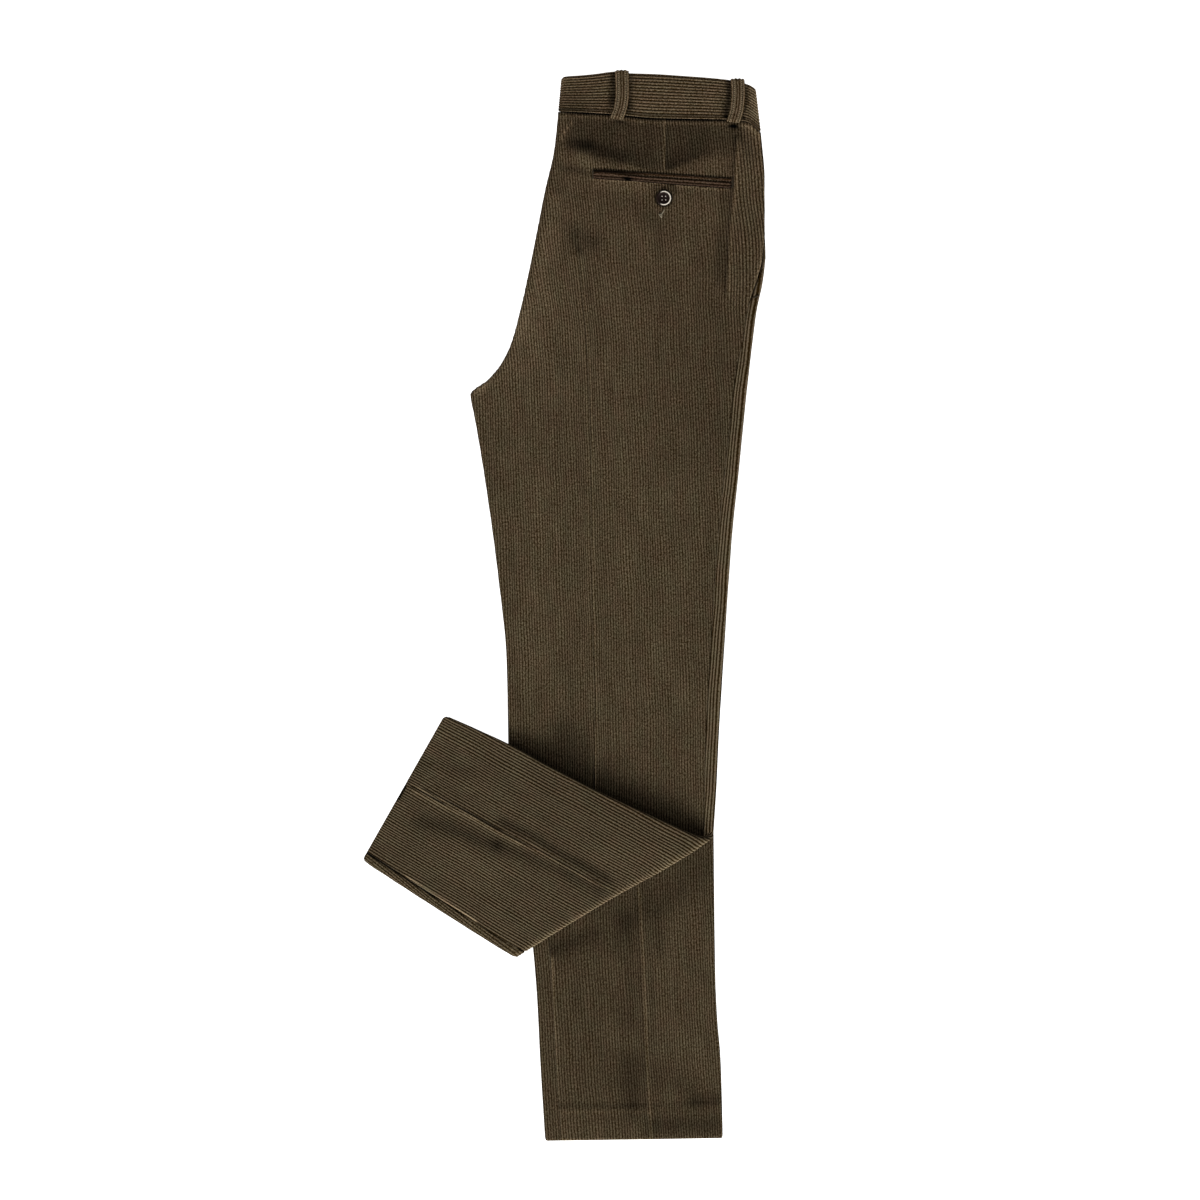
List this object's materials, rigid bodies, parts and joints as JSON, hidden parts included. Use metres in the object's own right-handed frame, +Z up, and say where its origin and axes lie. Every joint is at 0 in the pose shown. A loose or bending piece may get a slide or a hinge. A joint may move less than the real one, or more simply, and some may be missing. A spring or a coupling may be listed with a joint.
{
  "type": "corduroy trousers folded lengthwise and laid flat",
  "caption": "Full-length wide-wale corduroy trousers folded lengthwise, back outward, lying flat with the end of the upper leg turned back over the leg.",
  "frame": {"origin": "on the table, under the middle of the garment's outline", "axes": "+Y from the hems towards the waistband, +Z up from the table, +X towards the side seam of the upper leg"},
  "size_m": [0.3988, 1.0689, 0.0203],
  "materials": {
    "corduroy": "brown cotton corduroy with raised wales, soft brushed pile",
    "button": "dark brown horn-like resin, polished rim"
  },
  "bodies": {
    "root": {"back_panel_right": "corduroy", "front_panel_right": "corduroy", "front_panel_left": "corduroy", "back_panel_left": "corduroy", "inner_layers": "corduroy", "waistband_right": "corduroy", "waistband_left": "corduroy", "belt_loop_back_right": "corduroy", "belt_loop_side_right": "corduroy", "belt_loop_back_left": "corduroy", "belt_loop_side_left": "corduroy", "pocket_welt_upper": "corduroy", "pocket_welt_lower": "corduroy", "pocket_button": "button"}
  },
  "joints": []
}
